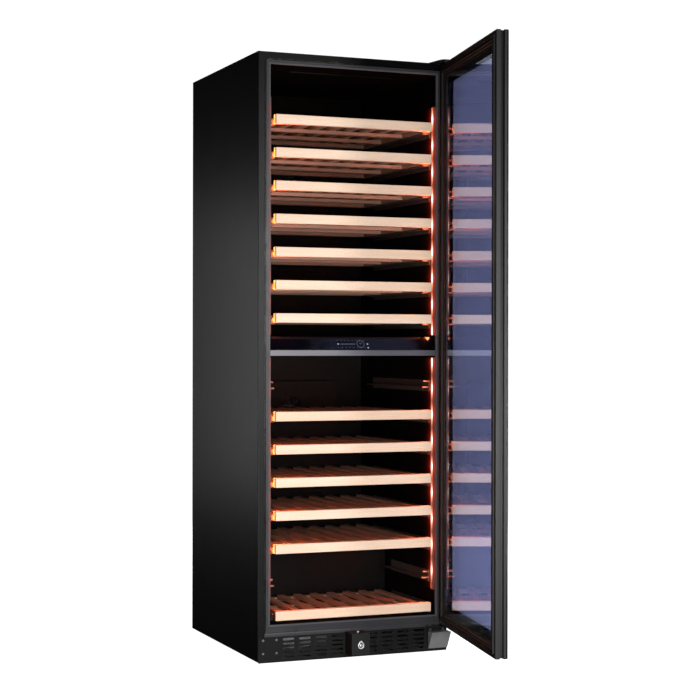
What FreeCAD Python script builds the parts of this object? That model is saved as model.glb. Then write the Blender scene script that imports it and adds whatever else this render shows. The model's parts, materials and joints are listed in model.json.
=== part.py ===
import FreeCAD, Part
import math
import os

# Dual-zone wine cooler: a tall foamed cabinet with thirteen sliding wooden shelves, a divider with a
# touch panel, an open glass door on pin hinges, a lockable kick plate and a bottom compressor bay.
#
# Frame: millimetres, +X to the right, +Y to the back, +Z up. The origin is on the floor under the centre
# of the cabinet. Each function builds one named sub-part, and main() writes each as its own STEP file.

Vector = FreeCAD.Vector
X_AXIS = Vector(1, 0, 0)
Y_AXIS = Vector(0, 1, 0)
Z_AXIS = Vector(0, 0, 1)

# Cabinet
WIDTH = 600.0
DEPTH = 640.0
HEIGHT = 1760.0
SHEET = 1.2                 # painted steel sheet
SHELL_BOTTOM = 7.0          # lower edge of the side walls above the floor
FRONT_FLANGE = 19.0         # width of the shell's folded front edge
FRONT = -DEPTH / 2
BACK = DEPTH / 2
HALF = WIDTH / 2
INNER_HALF = HALF - SHEET

# Storage space
LINER_HALF = 262.0
LINER_FLOOR = 112.0
LINER_TOP = 1725.0
LINER_BACK = BACK - 58.0
LINER_SHEET = 2.0
STEP_FRONT = 60.0           # the floor steps up over the compressor bay
STEP_TOP = 300.0
FRAME_HALF = HALF - FRONT_FLANGE - 1.0
FRAME_BOTTOM = 77.0
FRAME_TOP = HEIGHT - FRONT_FLANGE - 1.0
FRAME_THICK = 6.0
CORNER_RADIUS = 6.0
BEVEL = 3.0                 # chamfer round the opening
RIB_HALF = 165.0            # stiffening rib across the ceiling
RIB_FRONT = FRONT + 106.0
RIB_WIDTH = 7.0
RIB_DEPTH = 3.0

# Compressor bay
BAY_FRONT = 100.0
BAY_TOP = 262.0
PAN_BOTTOM = 8.0
PAN_SHEET = 1.5
PAN_TOP = PAN_BOTTOM + PAN_SHEET
PAN_RIM = 14.0

# Air slots and mains inlet in the back panel
VENT_ROWS = 9
VENT_COLUMNS = 6
VENT_FIRST_X = -210.0
VENT_FIRST_Z = 60.0
VENT_PITCH_X = 60.0
VENT_PITCH_Z = 20.0
VENT_LENGTH = 46.0
VENT_HEIGHT = 6.0
INLET_X = (181.0, 229.0)
INLET_Z = (61.0, 95.0)
INLET_FLANGE = 4.0
INLET_DEPTH = 26.0

# Shelves, from the top down: height of the fascia's upper edge
SHELF_PITCH = 95.5
UPPER_SHELF_TOP = 1582.0
LOWER_SHELF_TOP = 724.5
BOTTOM_SHELF_TOP = 150.0
SHELF_TOPS = [UPPER_SHELF_TOP - SHELF_PITCH * i for i in range(7)]
SHELF_TOPS += [LOWER_SHELF_TOP - SHELF_PITCH * i for i in range(5)]
SHELF_TOPS += [BOTTOM_SHELF_TOP]
SPARE_GUIDE_TOPS = [LOWER_SHELF_TOP + SHELF_PITCH, LOWER_SHELF_TOP - SHELF_PITCH * 5]
SHELF_HALF = 246.5
FASCIA_HEIGHT = 27.0
FASCIA_THICK = 20.0
FASCIA_PROUD = 3.5
FASCIA_BACK = FRONT - FASCIA_PROUD + FASCIA_THICK
SHELF_END = 190.0           # back of a full shelf
BOTTOM_SHELF_END = 40.0     # the lowest shelf is short because of the step
RUNNER_WIDTH = 12.0
RUNNER_INSET = 2.0          # runner inside the fascia's end
RUNNER_LOW = 1.0            # runner above the fascia's lower edge
RUNNER_HIGH = 14.0
SLAT_COUNT = 9
SLAT_WIDTH = 22.0
SLAT_LOW = 12.0
SLAT_HIGH = 22.0
SLAT_SIDE_GAP = 4.0         # outermost slat to the runner
CROSS_BAR = 22.0
SHELF_TRAVEL = 130.0

# Shelf guides on the side walls
GUIDE_START = FRONT + 40.0
GUIDE_INNER = 236.0
GUIDE_LEDGE = 4.0
GUIDE_GAP = 0.5
GUIDE_END_GAP = 40.0        # the guide ends this far before the shelf's back edge
GUIDE_WALL = 4.0
GUIDE_WALL_DROP = 14.0
TAB_LENGTH = 24.0           # hold-down tab above the runner
TAB_THICK = 4.0
STOP_LENGTH = 10.0          # block on the runner that meets the tab
STOP_HEIGHT = 5.0

# Divider between the two zones
DIVIDER_LOW = 886.5
DIVIDER_HIGH = 941.5
TRIM_TOP = 902.5
DIVIDER_HALF = LINER_HALF - 0.5
DIVIDER_BODY_FRONT = FRONT + 34.5
TRIM_FRONT = FRONT + 3.0
TRIM_SHEET = 1.5
PANEL_WALL = 2.5

# Light strips
LED_SPANS = [(185.0, 882.0), (946.0, 1632.0)]
LED_FRONT = FRONT + 9.0
LED_WIDTH = 18.0
LED_DEPTH = 4.0
LED_LIP = 4.0               # channel wall on both sides of the lens
LED_END = 2.0               # channel wall above and below the lens
LENS_PROUD = 1.5            # lens in front of the channel

# Door, measured from the hinge pin. It is drawn closed and then turned open.
DOOR_OPEN = 79.0            # angle in the stored pose, degrees
PIN_X = 284.6
PIN_Y = FRONT - 17.0
PIN_RADIUS = 4.0
PIN_CLEARANCE = 0.05
DOOR_REACH = 582.0          # pin to latch edge
DOOR_HEEL = 11.0            # pin to hinge edge
DOOR_BACK = 12.4            # pin to the face turned to the cabinet
DOOR_THICK = 35.2
DOOR_BOTTOM = 84.5
DOOR_TOP = 1755.0
DOOR_LEFT = PIN_X - DOOR_REACH
DOOR_RIGHT = PIN_X + DOOR_HEEL
DOOR_INSIDE = PIN_Y + DOOR_BACK
DOOR_OUTSIDE = DOOR_INSIDE - DOOR_THICK
STILE = 40.0
FACE_GLASS = 4.0
PANE = 4.0
PANE_BACK = PIN_Y + 8.0     # surface of the innermost pane
PANE_SPACING = 8.0
GRIP_DEPTH = 14.0           # finger groove along the latch edge
GRIP_FROM = PIN_Y - 11.6
GRIP_TO = PIN_Y - 1.0
GASKET_EDGE = 12.0
GASKET_WIDTH = 16.0
GASKET_PROUD = 4.1
GASKET_ROOT = 4.0
BUSH_RADIUS = 7.0
BUSH_LENGTH = 22.0

# Kick plate, lock and bottom hinge
KICK_BOTTOM = 4.0
KICK_TOP = 76.0
KICK_SHEET = 1.5
KICK_HALF = 298.0
KICK_FACE = FRONT - KICK_SHEET
SLOT_COLUMNS = [54.5 + 50.5 * i for i in range(4)]
SLOT_ROWS = [43.0 + 12.8 * i for i in range(-2, 3)]
SLOT_LENGTH = 36.0
SLOT_HEIGHT = 6.2
HINGE_HOLES_X = [243.0, 284.0]
HINGE_HOLES_Z = [31.0, 69.0]
HINGE_HOLE_RADIUS = 2.6
SCREW_HEAD = 4.4             # radius of a pan head
PLUG_SCREW_HEAD = 3.4        # screws that close the unused hinge holes
LOCK_HALF = 29.0
LOCK_LOW = 16.0
LOCK_HIGH = 80.0
LOCK_FRONT = FRONT - 51.5
LOCK_WALL = 3.0
KEY_Z = 44.6
KEY_RADIUS = 8.0
NOSE_RADIUS = 10.0
NOSE_LENGTH = 2.5
BOLT_Y = FRONT - 27.0
BOLT_RADIUS = 3.5
BOLT_PROUD = 3.0
BOLT_TRAVEL = 12.0
CAM_THROW = 12.0
HINGE_PLATE_LOW = 78.0
HINGE_PLATE_HIGH = 82.0
LEG_THICK = 3.0
TOP_PLATE = 3.0              # thickness of the top hinge plate
TOP_COVER_HEIGHT = 9.5
HINGE_COVER_LOW = 13.0
HINGE_COVER_HIGH = 64.0
HINGE_COVER_HALF = 31.0
HINGE_COVER_X = 267.5
HINGE_COVER_PROUD = 34.0     # the wedge's upper edge in front of the cabinet

# Cooling
FAN_RADIUS = 42.0
FAN_HUB = 14.0
FAN_SHAFT = 2.0
UPPER_COVER = (1120.0, 1560.0)
LOWER_COVER = (400.0, 800.0)
COVER_HALF = 160.0
COVER_FRONT = LINER_BACK - 40.0
COVER_SHEET = 2.0
FAN_FROM_TOP = 90.0
FAN_WIDTH = 12.0
BLADE_COUNT = 7
BLADE_SHEET = 1.6
BLADE_PITCH = 35.0          # degrees
GRILLE_PITCH = 12.0
INLET_PITCH = 14.0
EVAPORATOR_HALF = 140.0
EVAPORATOR_FINS = 15
EVAPORATOR_FIN_PITCH = 19.0
COMPRESSOR_X = -130.0
COMPRESSOR_Y = 212.0
COMPRESSOR_RADIUS = 72.0
COMPRESSOR_LOW = 30.0
COMPRESSOR_HIGH = 190.0
COMPRESSOR_PLATE = 4.0
CAN_FOOT_RADIUS = 20.0
CAN_DOME_RADIUS = 34.0
GROMMET_PLACES = [(-72, -52), (-72, 52), (72, -52), (72, 52)]
GROMMET_RADIUS = 12.0
GROMMET_HOLE = 7.0
TRAY_HALF_X = 80.0
TRAY_HALF_Y = 70.0
TRAY_HEIGHT = 34.0
TRAY_WALL = 2.5
CONDENSER_X = (70.0, 250.0)
CONDENSER_Z = (20.0, 200.0)
CONDENSER_Y = (112.0, 140.0)
CONDENSER_FAN_RADIUS = 66.0
CONDENSER_FAN_Y = 166.0
CONDENSER_HUB = 20.0
CONDENSER_FINS = 19
CONDENSER_FIN = 2.0
PIPE_RADIUS = 4.0

# Feet
FOOT_X = 255.0
FOOT_Y = 272.0
FOOT_PAD_RADIUS = 18.0
FOOT_PAD_HEIGHT = 5.5
FOOT_STEM_RADIUS = 5.0
FOOT_STEM_TOP = 44.0
FOOT_BOSS_RADIUS = 9.0
FOOT_BOSS_HEIGHT = 12.0


def block(x, y, z):
    """A box from three (low, high) pairs."""
    corner = Vector(x[0], y[0], z[0])
    return Part.makeBox(x[1] - x[0], y[1] - y[0], z[1] - z[0], corner)


def wide_block(half, y, z):
    """A box centred on the mid-plane."""
    return block((-half, half), y, z)


def rod(start, radius, length, axis=Z_AXIS):
    return Part.makeCylinder(radius, length, Vector(*start), axis)


def mirrored(shape):
    return shape.mirror(Vector(0, 0, 0), X_AXIS)


def pair(shape):
    """The shape and its twin on the other side of the mid-plane."""
    return [shape, mirrored(shape)]


def profile_x(points, half):
    """A closed (y, z) outline drawn out across the cabinet from -half to +half."""
    corners = [Vector(-half, y, z) for y, z in points]
    face = Part.Face(Part.makePolygon(corners + corners[:1]))
    return face.extrude(Vector(2 * half, 0, 0))


def profile_z(points, z):
    """A closed (x, y) outline drawn upwards."""
    corners = [Vector(px, py, z[0]) for px, py in points]
    face = Part.Face(Part.makePolygon(corners + corners[:1]))
    return face.extrude(Vector(0, 0, z[1] - z[0]))


def edges_along(shape, axis):
    """The straight edges that run along one axis."""
    chosen = []
    for edge in shape.Edges:
        if isinstance(edge.Curve, (Part.Line, Part.LineSegment)):
            direction = edge.tangentAt(edge.FirstParameter)
            if abs(direction.dot(axis)) > 0.999:
                chosen.append(edge)
    return chosen


def rounded(shape, axis, radius):
    return shape.makeFillet(radius, edges_along(shape, axis))


def slot_cutter(centre_x, centre_z, length, height, y):
    """A round-ended slot through a plate that faces the front."""
    half = length / 2 - height / 2
    middle = block((centre_x - half, centre_x + half), y, (centre_z - height / 2, centre_z + height / 2))
    ends = [rod((centre_x + s * half, y[0], centre_z), height / 2, y[1] - y[0], Y_AXIS) for s in (-1, 1)]
    return middle.fuse(ends).removeSplitter()


def tube_along(points, bend, radius):
    """A round pipe through straight runs joined by tangent arcs."""
    corners = [Vector(*p) for p in points]
    edges = []
    start = corners[0]
    for before, corner, after in zip(corners, corners[1:], corners[2:]):
        back = (before - corner).normalize()
        ahead = (after - corner).normalize()
        half_turn = (math.pi - back.getAngle(ahead)) / 2
        reach = bend * math.tan(half_turn)
        leave = corner + back * reach
        join = corner + ahead * reach
        middle_way = (back + ahead).normalize()
        middle = corner + middle_way * (bend / math.cos(half_turn) - bend)
        edges.append(Part.makeLine(start, leave))
        edges.append(Part.Arc(leave, middle, join).toShape())
        start = join
    edges.append(Part.makeLine(start, corners[-1]))
    path = Part.Wire(edges)
    first = (corners[1] - corners[0]).normalize()
    ring = Part.Wire(Part.makeCircle(radius, corners[0], first))
    return path.makePipeShell([ring], True, False)


# ---------------------------------------------------------------- cabinet

def outer_shell():
    body = wide_block(HALF, (FRONT, BACK), (SHELL_BOTTOM, HEIGHT))
    corner_edges = [e for e in edges_along(body, Z_AXIS) if e.Vertexes[0].Point.y < 0]
    body = body.makeFillet(1.5, corner_edges)
    inside = wide_block(INNER_HALF, (FRONT + SHEET, BACK + 1), (SHELL_BOTTOM - 1, HEIGHT - SHEET))
    mouth_z = (SHELL_BOTTOM - 1, HEIGHT - FRONT_FLANGE)
    mouth = wide_block(HALF - FRONT_FLANGE, (FRONT - 1, FRONT + 5), mouth_z)
    return body.cut([inside, mouth])


def back_panel():
    panel = wide_block(INNER_HALF, (BACK - SHEET, BACK), (SHELL_BOTTOM, HEIGHT - SHEET))
    cutters = []
    through = (BACK - 3, BACK + 1)
    for row in range(VENT_ROWS):
        for column in range(VENT_COLUMNS):
            centre_x = VENT_FIRST_X + VENT_PITCH_X * column
            centre_z = VENT_FIRST_Z + VENT_PITCH_Z * row
            cutters.append(slot_cutter(centre_x, centre_z, VENT_LENGTH, VENT_HEIGHT, through))
    cutters.append(block(INLET_X, through, INLET_Z))
    return panel.cut(cutters)


def liner_volume(grow):
    """The storage space, grown outwards by the sheet's thickness."""
    mouth = FRONT + FRAME_THICK
    outline = [(mouth, LINER_FLOOR - grow), (STEP_FRONT + grow, LINER_FLOOR - grow)]
    outline += [(STEP_FRONT + grow, STEP_TOP - grow), (LINER_BACK + grow, STEP_TOP - grow)]
    outline += [(LINER_BACK + grow, LINER_TOP + grow), (mouth, LINER_TOP + grow)]
    return profile_x(outline, LINER_HALF + grow)


def inner_liner():
    flange_y = (FRONT + FRAME_THICK, FRONT + FRAME_THICK + LINER_SHEET)
    flange = wide_block(FRAME_HALF, flange_y, (FRAME_BOTTOM, FRAME_TOP))
    walls = liner_volume(LINER_SHEET).fuse(flange).cut(liner_volume(0))
    rib = wide_block(RIB_HALF, (RIB_FRONT, RIB_FRONT + RIB_WIDTH), (LINER_TOP - RIB_DEPTH, LINER_TOP + 1))
    return walls.fuse(rib).removeSplitter()


def insulation_foam():
    front = FRONT + FRAME_THICK + LINER_SHEET
    body = wide_block(INNER_HALF, (front, BACK - SHEET), (FRAME_BOTTOM + 1, HEIGHT - SHEET))
    bay = wide_block(HALF, (BAY_FRONT, BACK), (0, BAY_TOP))
    return body.cut([liner_volume(LINER_SHEET), bay])


def front_frame():
    """The moulded surround between the shell's front edge and the storage space."""
    ring = wide_block(FRAME_HALF, (FRONT, FRONT + FRAME_THICK), (FRAME_BOTTOM, FRAME_TOP))
    opening = wide_block(LINER_HALF, (FRONT - 1, FRONT + 20), (LINER_FLOOR, LINER_TOP))
    opening = rounded(opening, Y_AXIS, CORNER_RADIUS)
    bevel_z = (LINER_FLOOR - BEVEL, LINER_TOP + BEVEL)
    bevel = wide_block(LINER_HALF + BEVEL, (FRONT - BEVEL, FRONT + BEVEL), bevel_z)
    back_edges = [e for e in bevel.Edges if abs(e.CenterOfMass.y - FRONT - BEVEL) < 0.01]
    bevel = bevel.makeChamfer(BEVEL - 0.01, back_edges)
    return ring.cut([opening, bevel])


def shelf_guides():
    """Ledges with a short hold-down tab, on both walls, at each shelf place."""
    pieces = []
    for top in SHELF_TOPS + SPARE_GUIDE_TOPS:
        runner_low = top - FASCIA_HEIGHT + RUNNER_LOW
        runner_high = top - FASCIA_HEIGHT + RUNNER_HIGH
        end = SHELF_END if runner_low > STEP_TOP else BOTTOM_SHELF_END
        ledge_top = runner_low - GUIDE_GAP
        run = (GUIDE_START, end - GUIDE_END_GAP)
        ledge = block((GUIDE_INNER, LINER_HALF), run, (ledge_top - GUIDE_LEDGE, ledge_top))
        wall_foot = max(ledge_top - GUIDE_WALL_DROP, LINER_FLOOR)
        wall = block((LINER_HALF - GUIDE_WALL, LINER_HALF), run, (wall_foot, runner_high + 6.0))
        tab_y = (GUIDE_START, GUIDE_START + TAB_LENGTH)
        tab_z = (runner_high + GUIDE_GAP, runner_high + GUIDE_GAP + TAB_THICK)
        tab = block((GUIDE_INNER + 4.0, LINER_HALF), tab_y, tab_z)
        pieces += pair(ledge.fuse([wall, tab]).removeSplitter())
    return pieces


def zone_divider():
    return wide_block(DIVIDER_HALF, (DIVIDER_BODY_FRONT, LINER_BACK), (DIVIDER_LOW + 2, DIVIDER_HIGH))


def divider_trim():
    face = wide_block(DIVIDER_HALF, (TRIM_FRONT, TRIM_FRONT + 2), (DIVIDER_LOW, TRIM_TOP))
    under = wide_block(DIVIDER_HALF, (TRIM_FRONT, FRONT + 60), (DIVIDER_LOW, DIVIDER_LOW + TRIM_SHEET))
    over = wide_block(DIVIDER_HALF, (TRIM_FRONT, FRONT + 34), (TRIM_TOP - TRIM_SHEET, TRIM_TOP))
    return face.fuse([under, over]).removeSplitter()


def control_panel():
    """A thin sloping front with a short roof and floor, open at the back for the board."""
    low = TRIM_TOP + 0.5
    back = FRONT + 34
    outline = [(FRONT + 3.5, low), (FRONT + 26, DIVIDER_HIGH), (back, DIVIDER_HIGH)]
    outline += [(back, DIVIDER_HIGH - PANEL_WALL), (FRONT + 27.4, DIVIDER_HIGH - PANEL_WALL)]
    outline += [(FRONT + 7.9, low + PANEL_WALL), (back, low + PANEL_WALL), (back, low)]
    return profile_x(outline, DIVIDER_HALF)


def control_board():
    board_y = (FRONT + 31, FRONT + 32.6)
    board = wide_block(80, board_y, (908, 936))
    display = block((-45, 45), (FRONT + 27, board_y[0]), (912, 922))
    plug = block((60, 74), (FRONT + 26, board_y[0]), (912, 920))
    return [board, display, plug]


def led_channels():
    pieces = []
    for low, high in LED_SPANS:
        span_y = (LED_FRONT, LED_FRONT + LED_WIDTH)
        channel = block((LINER_HALF - LED_DEPTH, LINER_HALF), span_y, (low, high))
        groove_y = (LED_FRONT + LED_LIP, LED_FRONT + LED_WIDTH - LED_LIP)
        groove_x = (LINER_HALF - LED_DEPTH - 1, LINER_HALF - 1)
        groove = block(groove_x, groove_y, (low + LED_END, high - LED_END))
        pieces += pair(channel.cut(groove))
    return pieces


def led_lenses():
    pieces = []
    for low, high in LED_SPANS:
        lens_y = (LED_FRONT + LED_LIP, LED_FRONT + LED_WIDTH - LED_LIP)
        lens_x = (LINER_HALF - LED_DEPTH - LENS_PROUD, LINER_HALF - 1)
        lens = block(lens_x, lens_y, (low + LED_END, high - LED_END))
        pieces += pair(lens)
    return pieces


# ---------------------------------------------------------------- shelves

def shelf(top, end):
    """Fascia, two runners, a rear bar, cross bars and slats that run front to back."""
    low = top - FASCIA_HEIGHT
    fascia = wide_block(SHELF_HALF, (FRONT - FASCIA_PROUD, FASCIA_BACK), (low, top))
    fascia = rounded(fascia, X_AXIS, 1.5)
    outer = SHELF_HALF - RUNNER_INSET
    inner = outer - RUNNER_WIDTH
    frame_z = (low + RUNNER_LOW, low + RUNNER_HIGH)
    runner = block((inner, outer), (FASCIA_BACK, end), frame_z)
    rear = wide_block(inner, (end - CROSS_BAR, end), frame_z)
    pieces = [fascia, rear] + pair(runner)
    stop_front = GUIDE_START + TAB_LENGTH + SHELF_TRAVEL + GUIDE_GAP
    if stop_front + STOP_LENGTH < end:
        stop_z = (frame_z[1], frame_z[1] + STOP_HEIGHT)
        pieces += pair(block((inner, outer), (stop_front, stop_front + STOP_LENGTH), stop_z))
    bar_z = (low + RUNNER_LOW, low + SLAT_LOW)
    bar_count = 3 if end > 100 else 2
    span = end - FASCIA_BACK
    for i in range(1, bar_count):
        bar_y = FASCIA_BACK + span * i / bar_count
        pieces.append(wide_block(inner, (bar_y, bar_y + CROSS_BAR), bar_z))
    pitch = (2 * inner - SLAT_WIDTH - 2 * SLAT_SIDE_GAP) / (SLAT_COUNT - 1)
    for i in range(SLAT_COUNT):
        centre = (i - (SLAT_COUNT - 1) / 2) * pitch
        slat_x = (centre - SLAT_WIDTH / 2, centre + SLAT_WIDTH / 2)
        slat = block(slat_x, (FASCIA_BACK, end - CROSS_BAR), (low + SLAT_LOW, low + SLAT_HIGH))
        pieces.append(slat)
    return pieces


# ---------------------------------------------------------------- base

def base_pan():
    span_y = (FRONT + 3, BACK - SHEET)
    pan = wide_block(INNER_HALF, span_y, (PAN_BOTTOM, PAN_TOP))
    rim = wide_block(INNER_HALF, span_y, (PAN_BOTTOM, PAN_TOP + PAN_RIM))
    hollow = wide_block(INNER_HALF - PAN_SHEET, (FRONT, BACK), (PAN_TOP, PAN_TOP + PAN_RIM + 6))
    body = pan.fuse(rim.cut(hollow)).removeSplitter()
    for x in (-FOOT_X, FOOT_X):
        for y in (-FOOT_Y, FOOT_Y):
            boss = rod((x, y, PAN_TOP), FOOT_BOSS_RADIUS, FOOT_BOSS_HEIGHT)
            body = body.fuse(boss)
            body = body.cut(rod((x, y, 0), FOOT_STEM_RADIUS + PIN_CLEARANCE, 40.0))
    return body


def levelling_foot(x, y):
    pad = rod((x, y, 0), FOOT_PAD_RADIUS, FOOT_PAD_HEIGHT)
    pad = pad.makeFillet(1.5, [pad.Edges[0], pad.Edges[2]])
    stem = rod((x, y, FOOT_PAD_HEIGHT), FOOT_STEM_RADIUS, FOOT_STEM_TOP - FOOT_PAD_HEIGHT)
    return pad.fuse(stem)


def kick_plate():
    plate = wide_block(KICK_HALF, (KICK_FACE, FRONT), (KICK_BOTTOM, KICK_TOP))
    top_fold = wide_block(FRAME_HALF - 2, (KICK_FACE, FRONT + 12), (KICK_TOP - 1.5, KICK_TOP))
    low_fold = wide_block(FRAME_HALF - 2, (KICK_FACE, FRONT + 2), (KICK_BOTTOM, KICK_BOTTOM + 1.5))
    body = plate.fuse([top_fold, low_fold])
    cut_y = (KICK_FACE - 1, FRONT + 1)
    cutters = []
    for column in SLOT_COLUMNS:
        for row in SLOT_ROWS:
            slot = slot_cutter(column, row, SLOT_LENGTH, SLOT_HEIGHT, cut_y)
            cutters += pair(slot)
    for x in HINGE_HOLES_X:
        for z in HINGE_HOLES_Z:
            cutters.append(rod((-x, cut_y[0], z), HINGE_HOLE_RADIUS, 3.5, Y_AXIS))
    return body.cut(cutters).removeSplitter()


def lock_housing():
    shell = wide_block(LOCK_HALF, (LOCK_FRONT, KICK_FACE), (LOCK_LOW, LOCK_HIGH))
    front_edges = [e for e in shell.Edges if abs(e.CenterOfMass.y - LOCK_FRONT) < 0.01]
    shell = shell.makeFillet(1.5, front_edges)
    hollow_z = (LOCK_LOW + LOCK_WALL, LOCK_HIGH - LOCK_WALL)
    hollow = wide_block(LOCK_HALF - LOCK_WALL, (LOCK_FRONT + LOCK_WALL, KICK_FACE + 1), hollow_z)
    key_hole = rod((0, LOCK_FRONT - 1, KEY_Z), KEY_RADIUS + PIN_CLEARANCE, 10, Y_AXIS)
    bolt_hole = rod((0, BOLT_Y, LOCK_HIGH - 10), BOLT_RADIUS + PIN_CLEARANCE, 20)
    return shell.cut([hollow, key_hole, bolt_hole])


def lock_cylinder():
    """Round key plug with a slotted nose; a cam pin at its inner end lifts the bolt."""
    nose = rod((0, LOCK_FRONT - NOSE_LENGTH, KEY_Z), NOSE_RADIUS, NOSE_LENGTH, Y_AXIS)
    plug_end = BOLT_Y - 4.0
    plug = rod((0, LOCK_FRONT - 2.0, KEY_Z), KEY_RADIUS, plug_end - LOCK_FRONT + 2.0, Y_AXIS)
    disc = rod((0, plug_end - 3.0, KEY_Z), CAM_THROW + 3.0, 3.0, Y_AXIS)
    pin = rod((-CAM_THROW, plug_end - 1.0, KEY_Z), 2.0, 8.0, Y_AXIS)
    keyway = block((-0.8, 0.8), (LOCK_FRONT - 3, LOCK_FRONT + 6), (KEY_Z - 4.5, KEY_Z + 4.5))
    return nose.fuse([plug, disc, pin]).cut(keyway).removeSplitter()


def lock_bolt():
    plate_y = (BOLT_Y - 2.0, BOLT_Y + 2.0)
    plate = block((-18, 6), plate_y, (38, 56))
    slot = block((-14.6, 2.6), (plate_y[0] - 1, plate_y[1] + 1), (KEY_Z - 2.4, KEY_Z + 5.0))
    stem = rod((0, BOLT_Y, 55.0), BOLT_RADIUS, LOCK_HIGH + BOLT_PROUD - 55.0)
    tip_edges = [e for e in stem.Edges if abs(e.CenterOfMass.z - LOCK_HIGH - BOLT_PROUD) < 0.01]
    stem = stem.makeChamfer(0.8, tip_edges)
    return plate.fuse(stem).cut(slot)


def bottom_hinge_bracket():
    plate_z = (HINGE_PLATE_LOW, HINGE_PLATE_HIGH)
    leg_face = KICK_FACE - LEG_THICK
    outline = [(230, KICK_FACE), (297, KICK_FACE), (297, PIN_Y - 8), (290, PIN_Y - 13)]
    outline += [(268, PIN_Y - 13), (230, leg_face - 2)]
    plate = profile_z(outline, plate_z)
    leg = block((236, 297), (leg_face, KICK_FACE), (20, HINGE_PLATE_HIGH))
    pin = rod((PIN_X, PIN_Y, HINGE_PLATE_LOW), PIN_RADIUS, DOOR_BOTTOM + BUSH_LENGTH - HINGE_PLATE_LOW - 3)
    body = plate.fuse([leg, pin])
    holes = []
    for x in HINGE_HOLES_X:
        for z in HINGE_HOLES_Z:
            holes.append(rod((x, leg_face - 1, z), 2.7, LEG_THICK + 2, Y_AXIS))
    return body.cut(holes).removeSplitter()


def bottom_hinge_cover():
    """A wedge-shaped cap over the bracket's leg."""
    back = KICK_FACE - LEG_THICK
    low, high = HINGE_COVER_LOW, HINGE_COVER_HIGH
    tip = FRONT - HINGE_COVER_PROUD
    outline = [(back, low), (back - 2, low), (tip, high), (back, high)]
    body = profile_x(outline, HINGE_COVER_HALF)
    inside = [(back + 1, low + 3), (back - 1, low + 3), (tip + 3.5, high - 2), (back + 1, high - 2)]
    body = body.cut(profile_x(inside, HINGE_COVER_HALF - 2))
    body.translate(Vector(HINGE_COVER_X, 0, 0))
    return body


def top_hinge_bracket():
    plate_z = (HEIGHT, HEIGHT + TOP_PLATE)
    outline = [(264, FRONT + 44), (294, FRONT + 44), (294, PIN_Y - 2), (288, PIN_Y - 8)]
    outline += [(280, PIN_Y - 8), (272, PIN_Y)]
    plate = profile_z(outline, plate_z)
    pin_low = DOOR_TOP - BUSH_LENGTH + 3
    pin = rod((PIN_X, PIN_Y, pin_low), PIN_RADIUS, HEIGHT + TOP_PLATE - pin_low)
    return plate.fuse(pin).removeSplitter()


def top_hinge_cover():
    outline = [(260, FRONT + 50), (298, FRONT + 50), (298, PIN_Y - 6), (291, PIN_Y - 12)]
    outline += [(276, PIN_Y - 12), (268, PIN_Y)]
    outer = profile_z(outline, (HEIGHT, HEIGHT + TOP_COVER_HEIGHT))
    inside = [(262, FRONT + 48), (296, FRONT + 48), (296, PIN_Y - 5), (290, PIN_Y - 10)]
    inside += [(277, PIN_Y - 10), (270, PIN_Y)]
    return outer.cut(profile_z(inside, (HEIGHT - 1, HEIGHT + TOP_COVER_HEIGHT - 2)))


def screws():
    """Pan-head screws of the hinges and the back panel."""
    pieces = []
    head_y = KICK_FACE - LEG_THICK
    for x in HINGE_HOLES_X:
        for z in HINGE_HOLES_Z:
            pieces.append(rod((x, head_y - 1.8, z), SCREW_HEAD, 1.8, Y_AXIS))
            pieces.append(rod((-x, KICK_FACE - 1.4, z), PLUG_SCREW_HEAD, 1.4, Y_AXIS))
    for x in (242.0, 262.0):
        pieces.append(rod((x, KICK_FACE - 6.0, HINGE_PLATE_HIGH), 3.0, 1.2))
    for y in (FRONT + 12.0, FRONT + 34.0):
        pieces.append(rod((279, y, HEIGHT + TOP_PLATE), SCREW_HEAD, 2.0))
    for z in (300.0, 700.0, 1100.0, 1500.0):
        for x in (-290.0, 290.0):
            pieces.append(rod((x, BACK, z), 4.0, 1.6, Y_AXIS))
    return pieces


# ---------------------------------------------------------------- cooling

def fan_centre(cover):
    return cover[1] - FAN_FROM_TOP


def fan_cover(cover):
    """A shallow tray on the back wall with an outlet grille over the fan and an inlet below."""
    low, high = cover
    outer = wide_block(COVER_HALF, (COVER_FRONT, LINER_BACK), cover)
    outer = outer.makeFillet(8, [e for e in edges_along(outer, Y_AXIS)])
    inside = wide_block(COVER_HALF - COVER_SHEET, (COVER_FRONT + COVER_SHEET, LINER_BACK + 1),
                        (low + COVER_SHEET, high - COVER_SHEET))
    cut_y = (COVER_FRONT - 1, COVER_FRONT + COVER_SHEET + 1)
    cutters = []
    for i in range(-3, 4):
        offset = GRILLE_PITCH * i
        chord = 2 * math.sqrt(FAN_RADIUS ** 2 - offset ** 2)
        cutters.append(slot_cutter(0, fan_centre(cover) + offset, chord, 6, cut_y))
    for i in range(4):
        cutters.append(slot_cutter(0, low + 24 + INLET_PITCH * i, 220, 6, cut_y))
    return outer.cut([inside] + cutters)


def evaporator(cover):
    """A finned plate behind the cover."""
    low = cover[0] + 90.0
    high = cover[1] - 160.0
    plate = wide_block(EVAPORATOR_HALF, (LINER_BACK - 6, LINER_BACK), (low, high))
    fins = []
    for i in range(EVAPORATOR_FINS):
        centre = (i - (EVAPORATOR_FINS - 1) / 2) * EVAPORATOR_FIN_PITCH
        fins.append(block((centre - 0.8, centre + 0.8), (LINER_BACK - 26, LINER_BACK - 5), (low, high)))
    return plate.fuse(fins).removeSplitter()


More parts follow.
